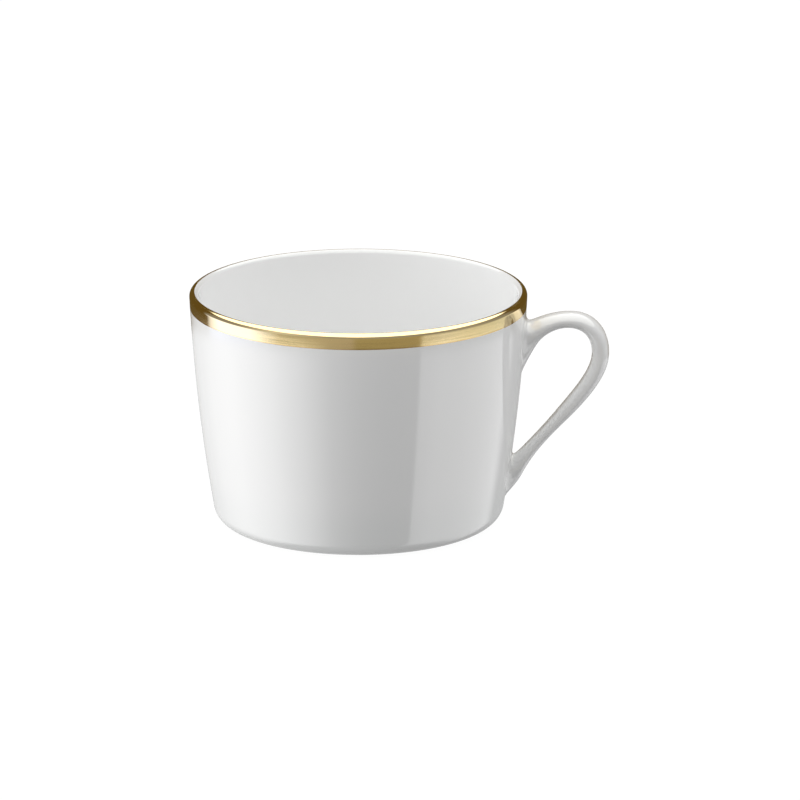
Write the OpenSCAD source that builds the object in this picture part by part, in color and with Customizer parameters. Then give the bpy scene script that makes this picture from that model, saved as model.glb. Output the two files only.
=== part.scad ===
// Straight-sided porcelain teacup with a gold rim and a loop handle.
// The cup's axis is Z, it stands on Z = 0, and the handle points along +X.

/* [Bowl] */
// Widest diameter, at the lip
rim_d = 86.2; // [78:0.1:96]
// Height over all
cup_h = 60.5; // [56:0.1:68]
// Diameter over the foot ring
foot_d = 66; // [60:0.1:70]
// Radius of the corner between the wall and the underside
corner_r = 4.4; // [3:0.1:6]
// Lean of the wall from the vertical, just above that corner
lean_foot = 9.5; // [8:0.1:13]
// Lean of the wall from the vertical, at the lip
lean_rim = 2.5; // [0.5:0.1:4]

/* [Thickness] */
// Thickness of the rounded lip
lip_t = 2.4; // [1.6:0.1:2.8]
// Thickness of the wall low down
wall_t = 2.8; // [2.2:0.1:3.6]
// Thickness of the floor
floor_t = 3.4; // [2.5:0.1:4.5]
// Inside radius between the wall and the floor
well_r = 11; // [6:0.5:16]

/* [Foot ring] */
// Height of the ring, which is the depth of the recess under the floor
foot_h = 1.6; // [1.2:0.1:2.5]
// Width of the ring
foot_w = 2.6; // [2:0.1:4]
// Rounding of the ring's two bottom edges
foot_round = 0.5; // [0.2:0.1:0.8]
// How far the ring stands below the glazed corner
foot_proud = 0.3; // [0.1:0.1:0.6]

/* [Gold band] */
// How far the band reaches down the outside
band_h = 4; // [2:0.1:4.4]
// How far the band goes over the lip, in degrees from level on the outside
band_over = 95; // [90:1:150]
// Thickness of the band
band_t = 0.25; // [0.15:0.05:0.4]

/* [Handle] */
// Width of the handle across the loop
grip_w = 7.6; // [6:0.1:9]
// Width of the upper root where it joins the wall
upper_root_w = 12.5; // [10:0.5:18]
// Width of the lower root where it joins the wall
lower_root_w = 9.5; // [8:0.5:14]
// Depth of the slip joint that runs out onto the wall at each root
joint_t = 1.4; // [1:0.1:2]

/* [Hidden] */
$fn = 96;

// Steps along the wall, round each corner and lip, along each stretch of the handle and round it
wall_steps = 20;
arc_steps = 10;
grip_steps = 9;
grip_sides = 20;

foot_or = foot_d / 2;
foot_ir = foot_or - foot_w;
floor_z = foot_h + floor_t;
lip_r = lip_t / 2;
lip_c = [rim_d / 2 - lip_r, cup_h - lip_r];
corner_c = [foot_or, foot_proud + corner_r];
past = 20; // reach of the cutting shapes past what they cut

// A point at an angle and a radius round a centre
function polar(c, r, a) = c + r * [cos(a), sin(a)];
// Points along an arc
function arc(c, r, from, to) = [for (i = [0:arc_steps]) polar(c, r, from + (to - from) * i / arc_steps)];
// Where the line that leans by a at p meets the line that leans by b at q, both near the vertical
function crossing(p, a, q, b) =
    let (z = (q.x - p.x + p.y * tan(a) - q.y * tan(b)) / (tan(a) - tan(b)))
    [p.x + (z - p.y) * tan(a), z];
// A quadratic curve, its direction, and the place along it that is at height z
function quad(p, t) = (1 - t) * (1 - t) * p[0] + 2 * t * (1 - t) * p[1] + t * t * p[2];
function quad_dir(p, t) = let (d = (1 - t) * (p[1] - p[0]) + t * (p[2] - p[1])) d / norm(d);
function quad_at(p, z) =
    let (a = p[0].y - 2 * p[1].y + p[2].y, b = 2 * (p[1].y - p[0].y), c = p[0].y - z)
    abs(a) < 0.001 ? -c / b : (sqrt(b * b - 4 * a * c) - b) / (2 * a);
// Points along a quadratic curve between two places, sunk to its left by some depth
function run(p, from, to, sunk = 0) = [
    for (i = [0:wall_steps])
        let (t = from + (to - from) * i / wall_steps, d = quad_dir(p, t))
        quad(p, t) + sunk * [-d.y, d.x]
];

// The outer wall, from the corner up to the lip
outer_foot = polar(corner_c, corner_r, -lean_foot);
outer_lip = polar(lip_c, lip_r, -lean_rim);
outer = [outer_foot, crossing(outer_foot, lean_foot, outer_lip, lean_rim), outer_lip];

// The inner wall, from the round of the well up to the lip
well_z = floor_z + well_r;
well_x = quad(outer, quad_at(outer, well_z)).x - wall_t - well_r;
inner_foot = polar([well_x, well_z], well_r, -lean_foot);
inner_lip = polar(lip_c, lip_r, 180 - lean_rim);
inner = [inner_foot, crossing(inner_foot, lean_foot, inner_lip, lean_rim), inner_lip];

// The band's lower edge, as a place along the outer wall
band_at = quad_at(outer, cup_h - band_h);

// The outline from the band's lower edge to its edge on the lip, sunk into the clay by some depth
function over_rim(sunk) = concat(
    run(outer, band_at, 1, sunk),
    arc(lip_c, lip_r - sunk, -lean_rim, band_over)
);

// Fired porcelain bowl, rebated at the rim for the band and open below for the foot ring
module cup_body() {
    color("white")
    rotate_extrude()
    polygon(concat(
        [[0, foot_h], [foot_or, foot_h]],
        arc(corner_c, corner_r, -90, -lean_foot),
        run(outer, 0, band_at),
        over_rim(band_t),
        arc(lip_c, lip_r, band_over, 180 - lean_rim),
        run(inner, 1, 0),
        arc([well_x, well_z], well_r, -lean_foot, -90),
        [[0, floor_z]]
    ));
}

// Bare clay ring that the cup stands on
module foot_ring() {
    color("linen")
    rotate_extrude()
    polygon(concat(
        [[foot_or, foot_h], [foot_ir, foot_h]],
        arc([foot_ir + foot_round, foot_round], foot_round, 180, 270),
        arc([foot_or - foot_round, foot_round], foot_round, -90, 0)
    ));
}

// Gold band round the outside of the rim and over the lip
module gold_rim_band() {
    color("goldenrod")
    rotate_extrude()
    polygon(concat(over_rim(0), [for (i = [len(over_rim(0)) - 1:-1:0]) over_rim(band_t)[i]]));
}

// Everything inside the outer wall, grown outwards by some depth
module wall_form(grow) {
    rotate_extrude()
    polygon(concat(
        [[0, 0], [foot_or, 0]],
        arc(corner_c, corner_r + grow, -90, -lean_foot),
        run(outer, 0, 1, -grow),
        [[0, outer_lip.y]]
    ));
}

// The handle's outer and inner edges in the XZ plane, as chains of cubic curves that share their
// ends. Each chain starts inside the wall at the upper root and ends inside it at the lower root.
outer_edge = [
    [41.0, 52.8], [45.8, 54.2], [50.6, 55.9],
    [54.9, 55.7], [60.4, 55.5], [63.9, 50.9],
    [64.0, 45.1], [64.1, 39.2], [57.9, 31.9],
    [54.3, 28.2], [50.1, 24.0], [44.6, 18.4],
    [41.1, 11.2], [39.8, 8.8], [38.2, 7.4],
    [36.4, 5.2]
];
inner_edge = [
    [41.0, 38.0], [43.6, 46.0], [48.2, 51.8],
    [53.8, 51.3], [57.4, 51.0], [59.2, 49.6],
    [59.4, 45.3], [59.6, 41.2], [54.5, 34.7],
    [50.2, 29.2], [47.4, 25.6], [43.9, 21.6],
    [40.9, 18.9], [39.8, 18.0], [38.8, 17.4],
    [37.6, 17.0]
];
stretches = 5;

function cubic(p, k, t) =
    (1 - t) * (1 - t) * (1 - t) * p[k] + 3 * t * (1 - t) * (1 - t) * p[k + 1]
    + 3 * t * t * (1 - t) * p[k + 2] + t * t * t * p[k + 3];
function along(chain, i) =
    let (k = min(floor(i / grip_steps), stretches - 1)) cubic(chain, 3 * k, i / grip_steps - k);
// A swell from 0 to 1 and its fall with distance, for the flare of each root
function ease(t) = let (s = max(0, min(1, t))) s * s * (3 - 2 * s);
upper_flare = 1.2; // how many stretches the upper root takes to narrow to the grip
lower_flare = 1.5;
function half_width(i) =
    let (at = i / grip_steps)
    (grip_w + (upper_root_w - grip_w) * ease(1 - at / upper_flare)
        + (lower_root_w - grip_w) * ease(1 - (stretches - at) / lower_flare)) / 2;

// The whole handle with both roots running on into the clay
module handle_form() {
    rings = stretches * grip_steps;
    polyhedron(
        points = [
            for (i = [0:rings])
                let (o = along(outer_edge, i), n = along(inner_edge, i), mid = (o + n) / 2, half = (o - n) / 2)
                for (j = [0:grip_sides - 1])
                    let (a = 360 * j / grip_sides, at = mid + half * cos(a))
                    [at.x, half_width(i) * sin(a), at.y]
        ],
        faces = concat(
            [[for (j = [0:grip_sides - 1]) j]],
            [
                for (i = [0:rings - 1], j = [0:grip_sides - 1])
                    let (a = i * grip_sides + j, b = i * grip_sides + (j + 1) % grip_sides)
                    each [[a, a + grip_sides, b + grip_sides], [a, b + grip_sides, b]]
            ],
            [[for (j = [grip_sides - 1:-1:0]) rings * grip_sides + j]]
        )
    );
}

// Loop handle, cut off where its slip joints begin
module handle() {
    color("white")
    difference() {
        handle_form();
        wall_form(joint_t);
    }
}

// One slip joint: the part of a root that lies against the wall, between two heights
module slip_joint(low, high) {
    color("whitesmoke")
    difference() {
        intersection() {
            handle_form();
            wall_form(joint_t);
            translate([0, -past, low]) cube([rim_d, 2 * past, high - low]);
        }
        wall_form(0);
    }
}

// The two joints are parted at mid height, where neither reaches
module upper_handle_joint() {
    slip_joint(cup_h / 2, cup_h);
}

module lower_handle_joint() {
    slip_joint(0, cup_h / 2);
}

cup_body();
foot_ring();
gold_rim_band();
handle();
upper_handle_joint();
lower_handle_joint();
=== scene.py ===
from math import cos, pi, radians, sin, sqrt, tan

import bmesh
import bpy
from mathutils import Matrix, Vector


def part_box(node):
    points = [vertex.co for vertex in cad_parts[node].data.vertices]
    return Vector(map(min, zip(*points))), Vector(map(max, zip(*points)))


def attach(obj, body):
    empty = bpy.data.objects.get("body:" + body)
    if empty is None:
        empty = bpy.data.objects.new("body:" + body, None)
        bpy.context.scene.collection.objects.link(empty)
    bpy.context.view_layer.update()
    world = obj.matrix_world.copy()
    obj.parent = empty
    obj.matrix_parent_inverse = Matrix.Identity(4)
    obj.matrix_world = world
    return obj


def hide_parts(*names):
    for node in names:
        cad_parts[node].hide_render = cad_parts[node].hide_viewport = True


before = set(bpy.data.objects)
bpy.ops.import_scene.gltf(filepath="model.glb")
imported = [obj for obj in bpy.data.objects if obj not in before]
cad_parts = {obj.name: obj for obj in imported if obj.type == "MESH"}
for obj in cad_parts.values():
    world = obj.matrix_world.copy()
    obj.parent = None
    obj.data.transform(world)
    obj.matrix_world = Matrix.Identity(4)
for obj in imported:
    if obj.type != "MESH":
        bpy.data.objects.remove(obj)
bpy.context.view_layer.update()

# A white porcelain teacup with a gold rim. It stands on Z = 0 round the Z axis, handle along +X.
# Outlines and sizes are in millimetres, and become metres as the pieces are made.

mm = 0.001
scene = bpy.context.scene
mergeDistance = 1e-7        # metres, within which a piece's points are made one
sharpAngle = 40             # degrees, past which an edge is left sharp


# Sizes that come from the frame

def halfWidth(node):        # of a round node
    low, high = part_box(node)
    return (high[1] - low[1]) / 2 / mm


rimRadius = halfWidth("gold_rim_band")
footRadius = halfWidth("foot_ring")
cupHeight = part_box("gold_rim_band")[1][2] / mm
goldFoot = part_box("gold_rim_band")[0][2] / mm        # height of the gold's lower edge
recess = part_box("foot_ring")[1][2] / mm              # depth of the hollow under the floor


# Points and curves in the XZ plane

halvings = 40


def mix(a, b, t):
    return a + (b - a) * t


def onArc(centre, radius, angle):        # degrees from +X towards +Z
    return centre + radius * Vector((cos(radians(angle)), sin(radians(angle))))


def arcPoints(centre, radius, start, end, steps):
    return [onArc(centre, radius, mix(start, end, i / steps)) for i in range(steps + 1)]


def quadPoint(curve, t):
    return (1 - t) ** 2 * curve[0] + 2 * t * (1 - t) * curve[1] + t * t * curve[2]


def quadSide(curve, t):        # unit normal on the right of the way up the curve
    way = (mix(curve[1], curve[2], t) - mix(curve[0], curve[1], t)).normalized()
    return Vector((way.y, -way.x))


def quadAt(curve, height):        # how far along the curve a height is, by halving
    low, high = 0.0, 1.0
    for _ in range(halvings):
        middle = (low + high) / 2
        low, high = (middle, high) if quadPoint(curve, middle).y < height else (low, middle)
    return (low + high) / 2


def quadRun(curve, start, end, steps, out=0.0):
    places = [mix(start, end, i / steps) for i in range(steps + 1)]
    return [quadPoint(curve, t) + out * quadSide(curve, t) for t in places]


def cubicPoint(a, b, c, d, t):
    return (1 - t) ** 3 * a + 3 * t * (1 - t) ** 2 * b + 3 * t * t * (1 - t) * c + t ** 3 * d


def wallCurve(low, lowLean, high, highLean):        # leaves low and reaches high at those leans, in degrees
    a, b = tan(radians(lowLean)), tan(radians(highLean))
    height = (high.x - low.x + low.y * a - high.y * b) / (a - b)
    return [low, Vector((low.x + (height - low.y) * a, height)), high]


bowl = {
    "around": 192,             # steps round every turned piece
    "wallSteps": 40,           # along the wall
    "cornerSteps": 20,
    "lipSteps": 12,
    "wellSteps": 24,
    "roofSteps": 12,
    "floorSteps": 10,
    "cornerRadius": 4.4,       # between the wall and the underside
    "footGap": 0.3,            # how far the foot ring stands below that corner
    "leanLow": 9.5,            # lean of the wall just above the corner
    "leanHigh": 2.5,           # and at the lip
    "lipThickness": 2.4,
    "wallThickness": 2.8,
    "floorThickness": 3.4,
    "wellRadius": 11.0,        # round between the wall and the floor, inside
    "dish": 0.35,              # how much lower the floor is at its middle than a flat one
    "crown": 0.35,             # how much higher the recess's roof is at its middle
}

lipRadius = bowl["lipThickness"] / 2
lipCentre = Vector((rimRadius - lipRadius, cupHeight - lipRadius))
cornerCentre = Vector((footRadius, bowl["footGap"] + bowl["cornerRadius"]))
outerWall = wallCurve(
    onArc(cornerCentre, bowl["cornerRadius"], -bowl["leanLow"]), bowl["leanLow"],
    onArc(lipCentre, lipRadius, -bowl["leanHigh"]), bowl["leanHigh"])


def wallRadius(height):        # of the outer wall
    return quadPoint(outerWall, quadAt(outerWall, height)).x


floorLevel = recess + bowl["floorThickness"]
wellLevel = floorLevel + bowl["wellRadius"]
wellCentre = Vector((wallRadius(wellLevel) - bowl["wallThickness"] - bowl["wellRadius"], wellLevel))
innerWall = wallCurve(
    onArc(wellCentre, bowl["wellRadius"], -bowl["leanLow"]), bowl["leanLow"],
    onArc(lipCentre, lipRadius, 180 - bowl["leanHigh"]), bowl["leanHigh"])


# Mesh helpers

def makePiece(name, bm, material, node):        # a finished piece in place of a CAD node
    bmesh.ops.remove_doubles(bm, verts=bm.verts[:], dist=mergeDistance)
    bmesh.ops.recalc_face_normals(bm, faces=bm.faces[:])
    for face in bm.faces:
        face.smooth = True
    for edge in bm.edges:
        edge.smooth = edge.is_boundary or edge.calc_face_angle(0.0) < radians(sharpAngle)
    mesh = bpy.data.meshes.new(name)
    bm.to_mesh(mesh)
    bm.free()
    piece = bpy.data.objects.new(name, mesh)
    scene.collection.objects.link(piece)
    mesh.materials.append(material)
    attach(piece, "root")
    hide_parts(node)
    print(name, len(mesh.polygons), "faces")


def turnOutline(outline, closed):        # spins an outline round the cup's axis
    bm = bmesh.new()
    points = [bm.verts.new((p.x * mm, 0, p.y * mm)) for p in outline]
    ends = points[1:] + points[:1] if closed else points[1:]
    sides = [bm.edges.new(pair) for pair in zip(points, ends)]
    bmesh.ops.spin(bm, geom=points + sides, cent=(0, 0, 0), axis=(0, 0, 1), angle=2 * pi,
                   steps=bowl["around"], use_merge=True)
    return bm


def placeRing(verts, ring):        # ring is in millimetres
    for vert, point in zip(verts, ring):
        vert.co = point * mm


def loft(rings):        # a closed tube: the first ring is drawn out through the others and capped
    bm = bmesh.new()
    verts = bmesh.ops.create_circle(bm, segments=len(rings[0]), radius=mm)["verts"]
    edges = bm.edges[:]
    bm.faces.new(verts)
    placeRing(verts, rings[0])
    for ring in rings[1:]:
        grown = set(bmesh.ops.extrude_edge_only(bm, edges=edges)["geom"])
        verts = [[e.other_vert(v) for e in v.link_edges if e.other_vert(v) in grown][0] for v in verts]
        edges = [e for e in grown if isinstance(e, bmesh.types.BMEdge) and set(e.verts) <= set(verts)]
        placeRing(verts, ring)
    bm.faces.new(verts)
    return bm


# Node helpers

def addNode(tree, kind, **values):        # a node with its properties and its inputs' values
    node = tree.nodes.new(kind)
    for key, value in values.items():
        if hasattr(node, key):
            setattr(node, key, value)
        else:
            node.inputs[key].default_value = value
    return node


def feed(tree, socket, value):        # a link from another socket, or a fixed value
    if isinstance(value, bpy.types.NodeSocket):
        tree.links.new(value, socket)
    else:
        socket.default_value = value


def calc(tree, operation, *terms):
    node = addNode(tree, "ShaderNodeMath", operation=operation)
    for socket, term in zip(node.inputs, terms):
        feed(tree, socket, term)
    return node.outputs[0]


def fade(tree, value, low, high, start=0.0, end=1.0):        # smooth step from start to end
    node = addNode(tree, "ShaderNodeMapRange", interpolation_type="SMOOTHSTEP")
    for label, amount in (("Value", value), ("From Min", low), ("From Max", high),
                          ("To Min", start), ("To Max", end)):
        feed(tree, node.inputs[label], amount)
    return node.outputs["Result"]


def blendColor(tree, factor, first, second):
    node = addNode(tree, "ShaderNodeMix", data_type="RGBA")
    factorSocket, firstSocket, secondSocket = node.inputs[0], node.inputs[6], node.inputs[7]
    feed(tree, factorSocket, factor)
    feed(tree, firstSocket, first)
    feed(tree, secondSocket, second)
    return node.outputs[2]


def noiseAt(tree, place, scale, detail, roughness):        # scale is per metre
    node = addNode(tree, "ShaderNodeTexNoise", Scale=scale, Detail=detail, Roughness=roughness)
    tree.links.new(place, node.inputs["Vector"])
    return node.outputs["Fac"]


def newGroup(name, inputs, output):
    group = bpy.data.node_groups.new(name, "ShaderNodeTree")
    group.interface.new_socket("Position", in_out="INPUT", socket_type="NodeSocketVector")
    for label, value in inputs.items():
        socket = group.interface.new_socket(label, in_out="INPUT", socket_type="NodeSocketFloat")
        socket.default_value = value
    group.interface.new_socket(output, in_out="OUTPUT", socket_type="NodeSocketFloat")
    start = group.nodes.new("NodeGroupInput").outputs
    end = group.nodes.new("NodeGroupOutput").inputs
    return group, start, end


def useGroup(tree, group, place, values):
    node = addNode(tree, "ShaderNodeGroup", node_tree=group)
    tree.links.new(place, node.inputs["Position"])
    for label, value in values.items():
        node.inputs[label].default_value = value
    return node.outputs[0]


# Slow waves and fine orange peel in a glazed surface, as a height in millimetres. A noise is given here
# and below by its scale, detail and roughness, and a range of a noise by where a fade starts and ends.
waveNoise = (55.0, 1.0, 0.4)
peelNoise = (600.0, 1.0, 0.4)


def buildRipple():
    group, start, end = newGroup("glazeRipple", {"Wave Height": 0.02, "Peel Height": 0.001}, "Height")
    wave = noiseAt(group, start["Position"], *waveNoise)
    peel = noiseAt(group, start["Position"], *peelNoise)
    wave = calc(group, "MULTIPLY", wave, start["Wave Height"])
    peel = calc(group, "MULTIPLY", peel, start["Peel Height"])
    group.links.new(calc(group, "ADD", wave, peel), end["Height"])
    return group


# Sparse small specks: a mask that is 1 on each. Density is in cells per metre, Size is a speck's radius
# as a part of a cell, and Share is how many of the cells have one.
def buildFlecks():
    group, start, end = newGroup("clayFlecks", {"Density": 200.0, "Size": 0.1, "Share": 0.1}, "Mask")
    cells = addNode(group, "ShaderNodeTexVoronoi", feature="F1")
    group.links.new(start["Position"], cells.inputs["Vector"])
    group.links.new(start["Density"], cells.inputs["Scale"])
    shade = addNode(group, "ShaderNodeSeparateColor")
    group.links.new(cells.outputs["Color"], shade.inputs["Color"])
    near = calc(group, "LESS_THAN", cells.outputs["Distance"], start["Size"])
    chosen = calc(group, "LESS_THAN", shade.outputs[0], start["Share"])
    group.links.new(calc(group, "MULTIPLY", near, chosen), end["Mask"])
    return group


glazeRipple = buildRipple()
clayFlecks = buildFlecks()


def newMaterial(name):
    material = bpy.data.materials.new(name)
    material.use_nodes = True
    tree = material.node_tree
    place = addNode(tree, "ShaderNodeTexCoord").outputs["Object"]
    return material, tree, tree.nodes["Principled BSDF"], place


def addBump(tree, shader, height, distance):
    bump = addNode(tree, "ShaderNodeBump", Distance=distance)
    tree.links.new(height, bump.inputs["Height"])
    tree.links.new(bump.outputs["Normal"], shader.inputs["Normal"])


def radiusAndHeight(tree, place):        # distance from the cup's axis and height, in metres
    parts = addNode(tree, "ShaderNodeSeparateXYZ")
    tree.links.new(place, parts.inputs[0])
    east, north, height = parts.outputs
    squares = calc(tree, "ADD", calc(tree, "MULTIPLY", east, east), calc(tree, "MULTIPLY", north, north))
    return calc(tree, "SQRT", squares), height


glaze = {
    "clay": (0.9, 0.9, 0.897, 1),            # white porcelain seen through clear glaze
    "cool": (0.855, 0.865, 0.86, 1),         # where the glaze lies thick
    "fleck": (0.56, 0.54, 0.50, 1),
    "wellDepth": 0.7,                        # how thick the glaze lies in the round of the well
    "wellHeight": (0.006, 0.017),            # heights between which that fades out, in metres
    "wellReach": (0.022, 0.033),             # and distances from the axis between which it fades in
    "patchDepth": 0.2,                       # how thick it lies in its faint patches
    "patchNoise": (38.0, 3.0, 0.55),
    "patchRange": (0.35, 0.7),
    "sheenRange": (0.3, 0.75),
    "flecks": {"Density": 110.0, "Size": 0.035, "Share": 0.05},
    "fleckShow": 0.25,
    "roughness": 0.05,
    "patchRoughness": 1.6,                   # times that in the patches
    "ior": 1.7,
    "ripple": {"Wave Height": 0.014, "Peel Height": 0.0005},
}


def buildGlaze():
    material, tree, shader, place = newMaterial("clearGlaze")
    radius, height = radiusAndHeight(tree, place)
    cloud = noiseAt(tree, place, *glaze["patchNoise"])
    inWell = calc(tree, "MULTIPLY", fade(tree, height, *glaze["wellHeight"], glaze["wellDepth"], 0.0),
                  fade(tree, radius, *glaze["wellReach"]))
    patchy = fade(tree, cloud, *glaze["patchRange"], 0.0, glaze["patchDepth"])
    body = blendColor(tree, calc(tree, "ADD", inWell, patchy), glaze["clay"], glaze["cool"])
    flecks = useGroup(tree, clayFlecks, place, glaze["flecks"])
    faint = calc(tree, "MULTIPLY", flecks, glaze["fleckShow"])
    tree.links.new(blendColor(tree, faint, body, glaze["fleck"]), shader.inputs["Base Color"])
    dull = glaze["roughness"] * glaze["patchRoughness"]
    sheen = fade(tree, cloud, *glaze["sheenRange"], glaze["roughness"], dull)
    tree.links.new(sheen, shader.inputs["Roughness"])
    shader.inputs["IOR"].default_value = glaze["ior"]
    addBump(tree, shader, useGroup(tree, glazeRipple, place, glaze["ripple"]), mm)
    return material


bareClay = {
    "clean": (0.80, 0.775, 0.72, 1),
    "worn": (0.47, 0.45, 0.42, 1),           # metal and dust rubbed into the standing face
    "fleck": (0.40, 0.35, 0.28, 1),
    "flecks": {"Density": 900.0, "Size": 0.16, "Share": 0.14},
    "grainNoise": (2600.0, 4.0, 0.7),
    "grainRange": (0.3, 0.7),
    "grainHeight": 0.06,                     # in millimetres
    "scuffNoise": (260.0, 4.0, 0.65),
    "scuffRange": (0.42, 0.62),
    "scuffHeight": 0.0005,                   # how far up the ring is scuffed, in metres
    "scuffShow": (0.15, 0.85),               # least and most
    "roughness": (0.52, 0.74),               # least and most
}


def buildBareClay():
    material, tree, shader, place = newMaterial("bareClay")
    height = radiusAndHeight(tree, place)[1]
    grain = noiseAt(tree, place, *bareClay["grainNoise"])
    scuff = noiseAt(tree, place, *bareClay["scuffNoise"])
    rubbed = calc(tree, "MULTIPLY", fade(tree, height, 0.0, bareClay["scuffHeight"], 1.0, 0.0),
                  fade(tree, scuff, *bareClay["scuffRange"], *bareClay["scuffShow"]))
    body = blendColor(tree, rubbed, bareClay["clean"], bareClay["worn"])
    flecks = useGroup(tree, clayFlecks, place, bareClay["flecks"])
    tree.links.new(blendColor(tree, flecks, body, bareClay["fleck"]), shader.inputs["Base Color"])
    dull = fade(tree, grain, *bareClay["grainRange"], *bareClay["roughness"])
    tree.links.new(dull, shader.inputs["Roughness"])
    addBump(tree, shader, grain, bareClay["grainHeight"] * mm)
    return material


gold = {
    "bright": (0.95, 0.76, 0.42, 1),
    "thin": (0.74, 0.51, 0.26, 1),           # edge where the lustre was brushed out thin
    "rubbed": (0.93, 0.78, 0.50, 1),         # top of the lip, touched most
    "thinAmount": 0.7,
    "thinHeight": (0.0003, 0.0006),          # how far up from the gold's foot it fades out, in metres
    "thinWaver": 0.0005,                     # and how far that edge wavers
    "rubbedDepth": 0.35,                     # how far down the lip it is rubbed, in millimetres
    "rubbedAmount": 0.8,
    "driftNoise": (120.0, 3.0, 0.6),
    "driftRange": (0.45, 0.65),
    "strokeStretch": (60.0, 60.0, 2600.0),   # brush strokes run round the rim, so they are thin in height
    "strokeNoise": (1.0, 3.0, 0.6),
    "strokeRange": (0.3, 0.7),
    "strokeHeight": 0.0016,                  # in millimetres
    "roughness": 0.07,
    "strokeRoughness": (0.8, 1.35),          # times that, least and most
    "rubbedRoughness": 0.1,                  # added where it is rubbed
    "ripple": {"Wave Height": 0.014, "Peel Height": 0.0006},
}


def buildGold():
    material, tree, shader, place = newMaterial("goldLustre")
    height = radiusAndHeight(tree, place)[1]
    drift = noiseAt(tree, place, *gold["driftNoise"])
    stretch = addNode(tree, "ShaderNodeMapping", Scale=gold["strokeStretch"])
    tree.links.new(place, stretch.inputs["Vector"])
    strokes = noiseAt(tree, stretch.outputs["Vector"], *gold["strokeNoise"])
    waver = calc(tree, "MULTIPLY_ADD", drift, gold["thinWaver"], height)
    low, high = (goldFoot * mm + rise for rise in gold["thinHeight"])
    edge = fade(tree, waver, low, high, gold["thinAmount"], 0.0)
    body = blendColor(tree, edge, gold["bright"], gold["thin"])
    topFoot = (cupHeight - gold["rubbedDepth"]) * mm
    top = fade(tree, height, topFoot, cupHeight * mm, 0.0, gold["rubbedAmount"])
    rubbed = calc(tree, "MULTIPLY", top, fade(tree, drift, *gold["driftRange"]))
    tree.links.new(blendColor(tree, rubbed, body, gold["rubbed"]), shader.inputs["Base Color"])
    least, most = (gold["roughness"] * part for part in gold["strokeRoughness"])
    smooth = fade(tree, strokes, *gold["strokeRange"], least, most)
    worn = calc(tree, "MULTIPLY_ADD", rubbed, gold["rubbedRoughness"], smooth)
    tree.links.new(worn, shader.inputs["Roughness"])
    shader.inputs["Metallic"].default_value = 1.0
    ripple = useGroup(tree, glazeRipple, place, gold["ripple"])
    addBump(tree, shader, calc(tree, "MULTIPLY_ADD", strokes, gold["strokeHeight"], ripple), mm)
    return material


glazeMaterial = buildGlaze()
clayMaterial = buildBareClay()
goldMaterial = buildGold()
print("materials made")


# Gold band

band = {
    "sunk": 0.2,        # how deep the band is let into the glaze
    "proud": 0.02,      # how far it stands out of it
    "over": 95,         # how far it goes over the lip, in degrees from level on the outside
    "steps": 14,        # up the wall
    "lipSteps": 20,     # and over the lip
}

goldStart = quadAt(outerWall, goldFoot)


def overRim(out):        # from the gold's lower edge to its edge on the lip
    up = quadRun(outerWall, goldStart, 1, band["steps"], out)
    return up + arcPoints(lipCentre, lipRadius + out, -bowl["leanHigh"], band["over"], band["lipSteps"])[1:]


bandOutline = overRim(band["proud"]) + overRim(-band["sunk"])[::-1]
makePiece("goldBand", turnOutline(bandOutline, True), goldMaterial, "gold_rim_band")


# Foot ring

foot = {
    "width": 2.6,
    "round": 0.55,      # of its two bottom edges
    "roundSteps": 8,
}


def footOutline():
    inner, edge, steps = footRadius - foot["width"], foot["round"], foot["roundSteps"]
    outside = arcPoints(Vector((footRadius - edge, edge)), edge, 0, -90, steps)
    inside = arcPoints(Vector((inner + edge, edge)), edge, -90, -180, steps)
    return [Vector((footRadius, recess))] + outside + inside + [Vector((inner, recess))]


makePiece("footRing", turnOutline(footOutline(), True), clayMaterial, "foot_ring")


# Bowl, from the middle of the recess round the outside and over the lip to the middle of the floor

def discPoints(radius, level, rise, steps):        # from the axis out, and raised at the axis
    return [Vector((radius * i / steps, level + rise * (1 - (i / steps) ** 2))) for i in range(steps + 1)]


def bowlOutline():
    roof = discPoints(footRadius - foot["width"], recess, bowl["crown"], bowl["roofSteps"])
    roof.append(Vector((footRadius, recess)))
    corner = arcPoints(cornerCentre, bowl["cornerRadius"], -90, -bowl["leanLow"], bowl["cornerSteps"])
    outside = quadRun(outerWall, 0, goldStart, bowl["wallSteps"])
    lip = arcPoints(lipCentre, lipRadius, band["over"], 180 - bowl["leanHigh"], bowl["lipSteps"])
    inside = quadRun(innerWall, 1, 0, bowl["wallSteps"])
    well = arcPoints(wellCentre, bowl["wellRadius"], -bowl["leanLow"], -90, bowl["wellSteps"])
    flat = discPoints(wellCentre.x, floorLevel, -bowl["dish"], bowl["floorSteps"])[::-1]
    return roof + corner + outside[1:] + overRim(-band["sunk"]) + lip + inside[1:] + well[1:] + flat[1:]


makePiece("bowl", turnOutline(bowlOutline(), False), glazeMaterial, "cup_body")


# The edges of the handle's loop in the XZ plane, from the upper neck to the lower, as chains of cubic
# curves that share their ends. Widths are across the loop, at the ends of the curves.
handle = {
    "outer": [
        (46.15, 54.0), (48.7, 54.95), (51.65, 55.7),
        (54.8, 55.6), (60.4, 55.5), (64.25, 50.9),
        (64.1, 44.7), (64.15, 38.9), (57.8, 31.95),
        (54.25, 28.25), (50.15, 24.05), (45.3, 19.15),
        (42.1, 12.7)],
    "inner": [
        (45.8, 47.35), (47.4, 49.9), (50.75, 51.85),
        (54.05, 51.7), (57.3, 51.5), (59.65, 49.6),
        (59.7, 45.15), (59.8, 40.3), (54.75, 34.5),
        (50.45, 29.0), (48.4, 26.35), (45.4, 22.95),
        (42.75, 20.15)],
    "width": [8.8, 7.6, 7.4, 7.2, 6.8],
    "squareness": [2.2, 2.2, 2.4, 3.0, 2.8],       # of its section, where 2 is an ellipse
    "steps": 18,            # along each curve
    "sides": 56,            # round the section
}


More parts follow.
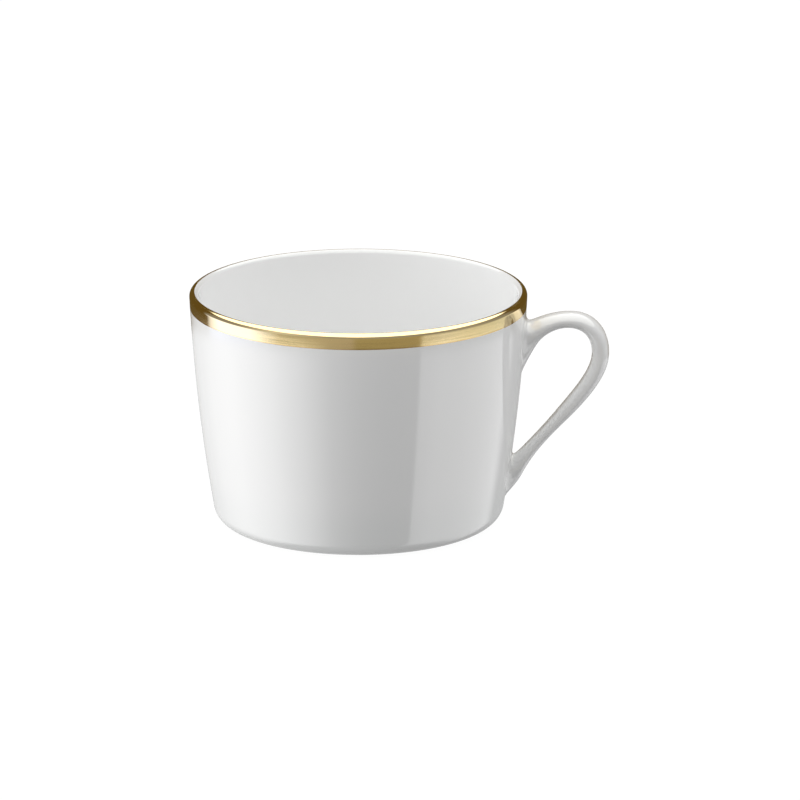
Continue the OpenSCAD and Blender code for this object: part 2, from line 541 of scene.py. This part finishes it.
def chainPoint(chain, place):        # place is 0 to the number of curves
    k = min(int(place), len(chain) // 3 - 1)
    return cubicPoint(*(Vector(p) for p in chain[3 * k:3 * k + 4]), place - k)


def handleValue(name, place):        # of a list with one value for each end of the curves
    values = handle[name]
    k = min(int(place), len(values) - 2)
    t = place - k
    return mix(values[k], values[k + 1], t * t * (3 - 2 * t))


def squared(angle, power):        # a point on a unit circle that is squared off a little
    c, s = cos(angle), sin(angle)
    scale = (abs(c) ** power + abs(s) ** power) ** (-1 / power)
    return c * scale, s * scale


ringAngles = [2 * pi * i / handle["sides"] for i in range(handle["sides"])]


def handleRing(place):
    outer, inner = chainPoint(handle["outer"], place), chainPoint(handle["inner"], place)
    middle, half = (outer + inner) / 2, (outer - inner) / 2
    halfWide, power = handleValue("width", place) / 2, handleValue("squareness", place)
    ring = []
    for angle in ringAngles:
        c, s = squared(angle, power)
        ring.append(Vector((middle.x + half.x * c, halfWide * s, middle.y + half.y * c)))
    return ring


curveCount = len(handle["outer"]) // 3
stations = [i / handle["steps"] for i in range(curveCount * handle["steps"] + 1)]
makePiece("handleLoop", loft([handleRing(s) for s in stations]), glazeMaterial, "handle")

# Slip joints: each root spreads from the handle's neck onto the wall. "neck" is the end of the loop's
# chains where it starts, and "outerUp" says that the loop's outer edge is the upper one there. "print" is
# where it ends on the wall: its height at the widest place, how far above and below that, half its width.
# "reach" is how far the fillet keeps the handle's direction, and "hug" how far it follows the wall,
# each at the loop's outer edge, its sides and its inner edge.
upperRoot = {
    "neck": 0.0,
    "print": (50.6, 4.9, 11.4, 6.2),
    "outerUp": True,
    "reach": (3.0, 1.6, 1.5),
    "hug": (3.4, 1.6, 1.2),
}
lowerRoot = {
    "neck": float(curveCount),
    "print": (13.2, 5.8, 7.2, 4.8),
    "outerUp": False,
    "reach": (4.2, 1.8, 3.6),
    "hug": (1.4, 1.2, 2.4),
}
rootSteps = 26
skirtScale = 1.03           # of the edge that goes under the wall's face, where the print is 1
skirtSunk = 0.01
backScales = (1.02, 0.75, 0.5, 0.25, 0.05)        # rings of the joint's back, from its edge inwards
backSunk = 0.04             # how deep the back lies in the wall
sideBlend = 1.5             # how long "reach" and "hug" keep their values at the sides
neckStep = 0.02             # a short way along the handle, to find the direction of its sides
printStep = 0.01            # and one in from the edge of the print, to find the direction of the wall


def onWall(y, z, out):        # the point of the wall on the handle's side, or out from it
    radius = wallRadius(z) + out
    return Vector((sqrt(radius * radius - y * y), y, z))


def betweenThree(values, c):        # values at c = 1, 0 and -1
    side = values[0] if c > 0 else values[2]
    return mix(values[1], side, abs(c) ** sideBlend)


def printPoint(root, angle, scale=1.0, out=0.0):        # on the edge of the print, or of a scaled one
    middle, up, down, half = root["print"]
    rise = cos(angle) if root["outerUp"] else -cos(angle)
    return onWall(half * sin(angle) * scale, middle + (up if rise > 0 else down) * rise * scale, out)


def rootRings(root):
    inward = neckStep if root["outerUp"] else -neckStep
    lines = []
    for angle, start, behind in zip(ringAngles, handleRing(root["neck"]), handleRing(root["neck"] + inward)):
        end = printPoint(root, angle)
        away = (end - printPoint(root, angle, 1 - printStep)).normalized()
        first = start + (start - behind).normalized() * betweenThree(root["reach"], cos(angle))
        second = end - away * betweenThree(root["hug"], cos(angle))
        line = [cubicPoint(start, first, second, end, j / rootSteps) for j in range(rootSteps + 1)]
        line.append(printPoint(root, angle, skirtScale, -skirtSunk))
        line += [printPoint(root, angle, scale, -backSunk) for scale in backScales]
        lines.append(line)
    return [list(ring) for ring in zip(*lines)]


for name, root, node in (
        ("upperJoint", upperRoot, "upper_handle_joint"), ("lowerJoint", lowerRoot, "lower_handle_joint")):
    makePiece(name, loft(rootRings(root)), glazeMaterial, node)


# Camera

view = {
    "turn": 4.0,            # degrees round from the front towards the handle
    "rise": 16.05,
    "distance": 1.4395,
    "lens": 252.5,
    "sensorWidth": 36,
    "clipEnd": 20,
    "aim": (0.0, 0.0, 0.03025),
    "right": 0.01063,       # the camera looks that far to the right of the aim
    "up": 0.00100,          # and that far above it
}


def placeCamera():
    turn, rise = radians(view["turn"]), radians(view["rise"])
    back = Vector((sin(turn) * cos(rise), -cos(turn) * cos(rise), sin(rise)))
    side = Vector((cos(turn), sin(turn), 0))
    place = Vector(view["aim"]) + back * view["distance"]
    target = Vector(view["aim"]) + side * view["right"] + back.cross(side) * view["up"]
    camera = bpy.data.objects.new("camera", bpy.data.cameras.new("camera"))
    camera.data.lens = view["lens"]
    camera.data.sensor_width = view["sensorWidth"]
    camera.data.clip_end = view["clipEnd"]
    camera.location = place
    camera.rotation_euler = (target - place).to_track_quat("-Z", "Y").to_euler()
    scene.collection.objects.link(camera)
    scene.camera = camera


# Light panels round the cup, by degrees from the camera: 0 is at the camera, positive to its right.
# Reflections see sharp panels, and the clay is lit by soft ones.
brown = (0.12, 0.08, 0.02)
studio = {
    "rimPanels": [        # at the height that the rim reflects
        (-180, brown), (-127, brown), (-123, (0.90, 0.95, 1.2)), (-112, (1.5, 1.65, 2.2)),
        (-80, (1.4, 1.5, 2.0)), (-66, (0.80, 0.86, 1.0)), (-56, (0.52, 0.50, 0.44)),
        (-48, (0.47, 0.46, 0.39)), (-30, (0.46, 0.43, 0.35)), (-5, (0.44, 0.40, 0.33)),
        (-1, (0.37, 0.33, 0.20)), (43, (0.36, 0.31, 0.18)), (45.5, (0.54, 0.53, 0.47)),
        (60, (0.60, 0.61, 0.60)), (84, (0.60, 0.60, 0.54)), (125, (0.68, 0.71, 0.68)),
        (130, brown), (180, brown)],
    "wallPanels": [       # lower down, at the height that the wall reflects
        (-180, 0.6), (-140, 0.7), (-122, 1.2), (-102, 2.0), (-82, 2.3), (-66, 2.3), (-42, 1.5), (-20, 0.35),
        (0, 0.05), (22, 0.08), (42.5, 0.25), (45, 1.4), (60, 1.8), (76, 1.75), (126, 1.65), (138, 0.5),
        (180, 0.5)],
    "upperPanels": [      # above both, at the height that the shoulder of the lip reflects
        (-180, brown), (-128, brown), (-122, 0.25), (-90, 0.3), (-60, 0.7), (-20, 0.35), (45, 0.3),
        (80, 0.35), (120, 0.25), (135, brown), (180, brown)],
    "softPanels": [
        (-180, 0.2), (-140, 0.4), (-100, 2.3), (-60, 1.3), (-20, 0.03), (20, 0.02), (60, 0.03), (100, 1.25),
        (140, 0.5), (180, 0.2)],
    "skyEdge": [          # elevation where the overhead light begins, in degrees
        (-180, 30), (-120, 34), (-70, 38), (0, 33), (90, 38), (130, 34), (180, 30)],
    "wallTop": (-15.25, -6.2),     # between the rows of panels: elevation behind, and its change in front
    "wallBlend": 0.15,             # half the height of the blend there, in degrees
    "skyBlend": 2.0,               # and of the one at skyEdge
    "upperBlend": (-9.0, -4.0),    # elevations between which the upper panels take over
    "groundBlend": (-60.0, -45.0),
    "overheadSharp": (2.1, 2.1, 1.95),
    "groundSharp": 0.5,
    "overheadSoft": 1.4,
    "zenithSoft": 0.7,
    "groundSoft": 0.42,
    "softOverhead": (0.0, 0.7),    # sines of elevation between which soft overhead light takes over
    "softZenith": (0.65, 1.0),     # and it dims
    "softGround": (-0.8, -0.35),   # and the soft light of the ground gives way
}


def panelRing(tree, azimuth, stops):        # the stops' brightness or colour, all round
    node = addNode(tree, "ShaderNodeValToRGB")
    colours = [value if isinstance(value, tuple) else (value, value, value) for _, value in stops]
    top = max(max(colour) for colour in colours)
    elements = node.color_ramp.elements
    for i, ((degrees, _), colour) in enumerate(zip(stops, colours)):
        place = (degrees + 180) / 360
        element = elements[i] if i < 2 else elements.new(place)
        element.position = place
        element.color = (*(part / top for part in colour), 1)
    tree.links.new(azimuth, node.inputs["Fac"])
    scaled = addNode(tree, "ShaderNodeVectorMath", operation="SCALE", Scale=top)
    tree.links.new(node.outputs["Color"], scaled.inputs[0])
    return scaled.outputs["Vector"]


def grey(value):
    return value, value, value, 1


def buildStudio():
    world = bpy.data.worlds.new("studio")
    scene.world = world
    world.use_nodes = True
    tree = world.node_tree
    around = addNode(tree, "ShaderNodeMapping", Rotation=(0, 0, -radians(view["turn"])))
    tree.links.new(addNode(tree, "ShaderNodeTexCoord").outputs["Generated"], around.inputs["Vector"])
    parts = addNode(tree, "ShaderNodeSeparateXYZ")
    tree.links.new(around.outputs["Vector"], parts.inputs[0])
    east, north, height = parts.outputs
    angle = calc(tree, "ARCTAN2", east, calc(tree, "MULTIPLY", north, -1.0))
    azimuth = calc(tree, "MULTIPLY_ADD", angle, 1 / (2 * pi), 0.5)
    elevation = calc(tree, "MULTIPLY", calc(tree, "ARCSINE", height), 180 / pi)

    frontness = calc(tree, "COSINE", calc(tree, "MULTIPLY", angle, 0.5))
    wallTop = calc(tree, "MULTIPLY_ADD", frontness, studio["wallTop"][1], studio["wallTop"][0])
    skyEdge = addNode(tree, "ShaderNodeSeparateColor")
    tree.links.new(panelRing(tree, azimuth, studio["skyEdge"]), skyEdge.inputs["Color"])
    aboveWall = calc(tree, "SUBTRACT", elevation, wallTop)
    overWall = fade(tree, aboveWall, -studio["wallBlend"], studio["wallBlend"])
    aboveEdge = calc(tree, "SUBTRACT", elevation, skyEdge.outputs[0])
    overSky = fade(tree, aboveEdge, -studio["skyBlend"], studio["skyBlend"])
    sharp = blendColor(tree, overWall, panelRing(tree, azimuth, studio["wallPanels"]),
                       panelRing(tree, azimuth, studio["rimPanels"]))
    sharp = blendColor(tree, fade(tree, elevation, *studio["upperBlend"]), sharp,
                       panelRing(tree, azimuth, studio["upperPanels"]))
    sharp = blendColor(tree, overSky, sharp, (*studio["overheadSharp"], 1))
    sharp = blendColor(tree, fade(tree, elevation, *studio["groundBlend"]),
                       grey(studio["groundSharp"]), sharp)

    soft = panelRing(tree, azimuth, studio["softPanels"])
    overhead = fade(tree, height, *studio["softZenith"], studio["overheadSoft"], studio["zenithSoft"])
    soft = blendColor(tree, fade(tree, height, *studio["softOverhead"]), soft, overhead)
    soft = blendColor(tree, fade(tree, height, *studio["softGround"]), grey(studio["groundSoft"]), soft)

    path = addNode(tree, "ShaderNodeLightPath").outputs
    light = blendColor(tree, path["Is Glossy Ray"], soft, sharp)
    tree.links.new(blendColor(tree, path["Is Camera Ray"], light, grey(1.0)),
                   tree.nodes["Background"].inputs["Color"])
    world.cycles.sampling_method = "NONE"


paleFloor = {
    "reach": 4.0,        # metres from the middle to each side
    "shade": 0.08,
    "glow": 0.95,        # with the light that falls on it, this makes it white
}


def buildFloor():
    bm = bmesh.new()
    bmesh.ops.create_grid(bm, x_segments=1, y_segments=1, size=paleFloor["reach"])
    mesh = bpy.data.meshes.new("floor")
    bm.to_mesh(mesh)
    bm.free()
    floor = bpy.data.objects.new("floor", mesh)
    scene.collection.objects.link(floor)
    material = bpy.data.materials.new("paleFloor")
    material.use_nodes = True
    shader = material.node_tree.nodes["Principled BSDF"].inputs
    shader["Base Color"].default_value = grey(paleFloor["shade"])
    shader["Roughness"].default_value = 1.0
    shader["Specular IOR Level"].default_value = 0.0
    shader["Emission Color"].default_value = grey(1.0)
    shader["Emission Strength"].default_value = paleFloor["glow"]
    mesh.materials.append(material)
    floor.visible_diffuse = False
    floor.visible_glossy = False


placeCamera()
buildStudio()
buildFloor()
scene.view_settings.view_transform = "Standard"
print("studio made")
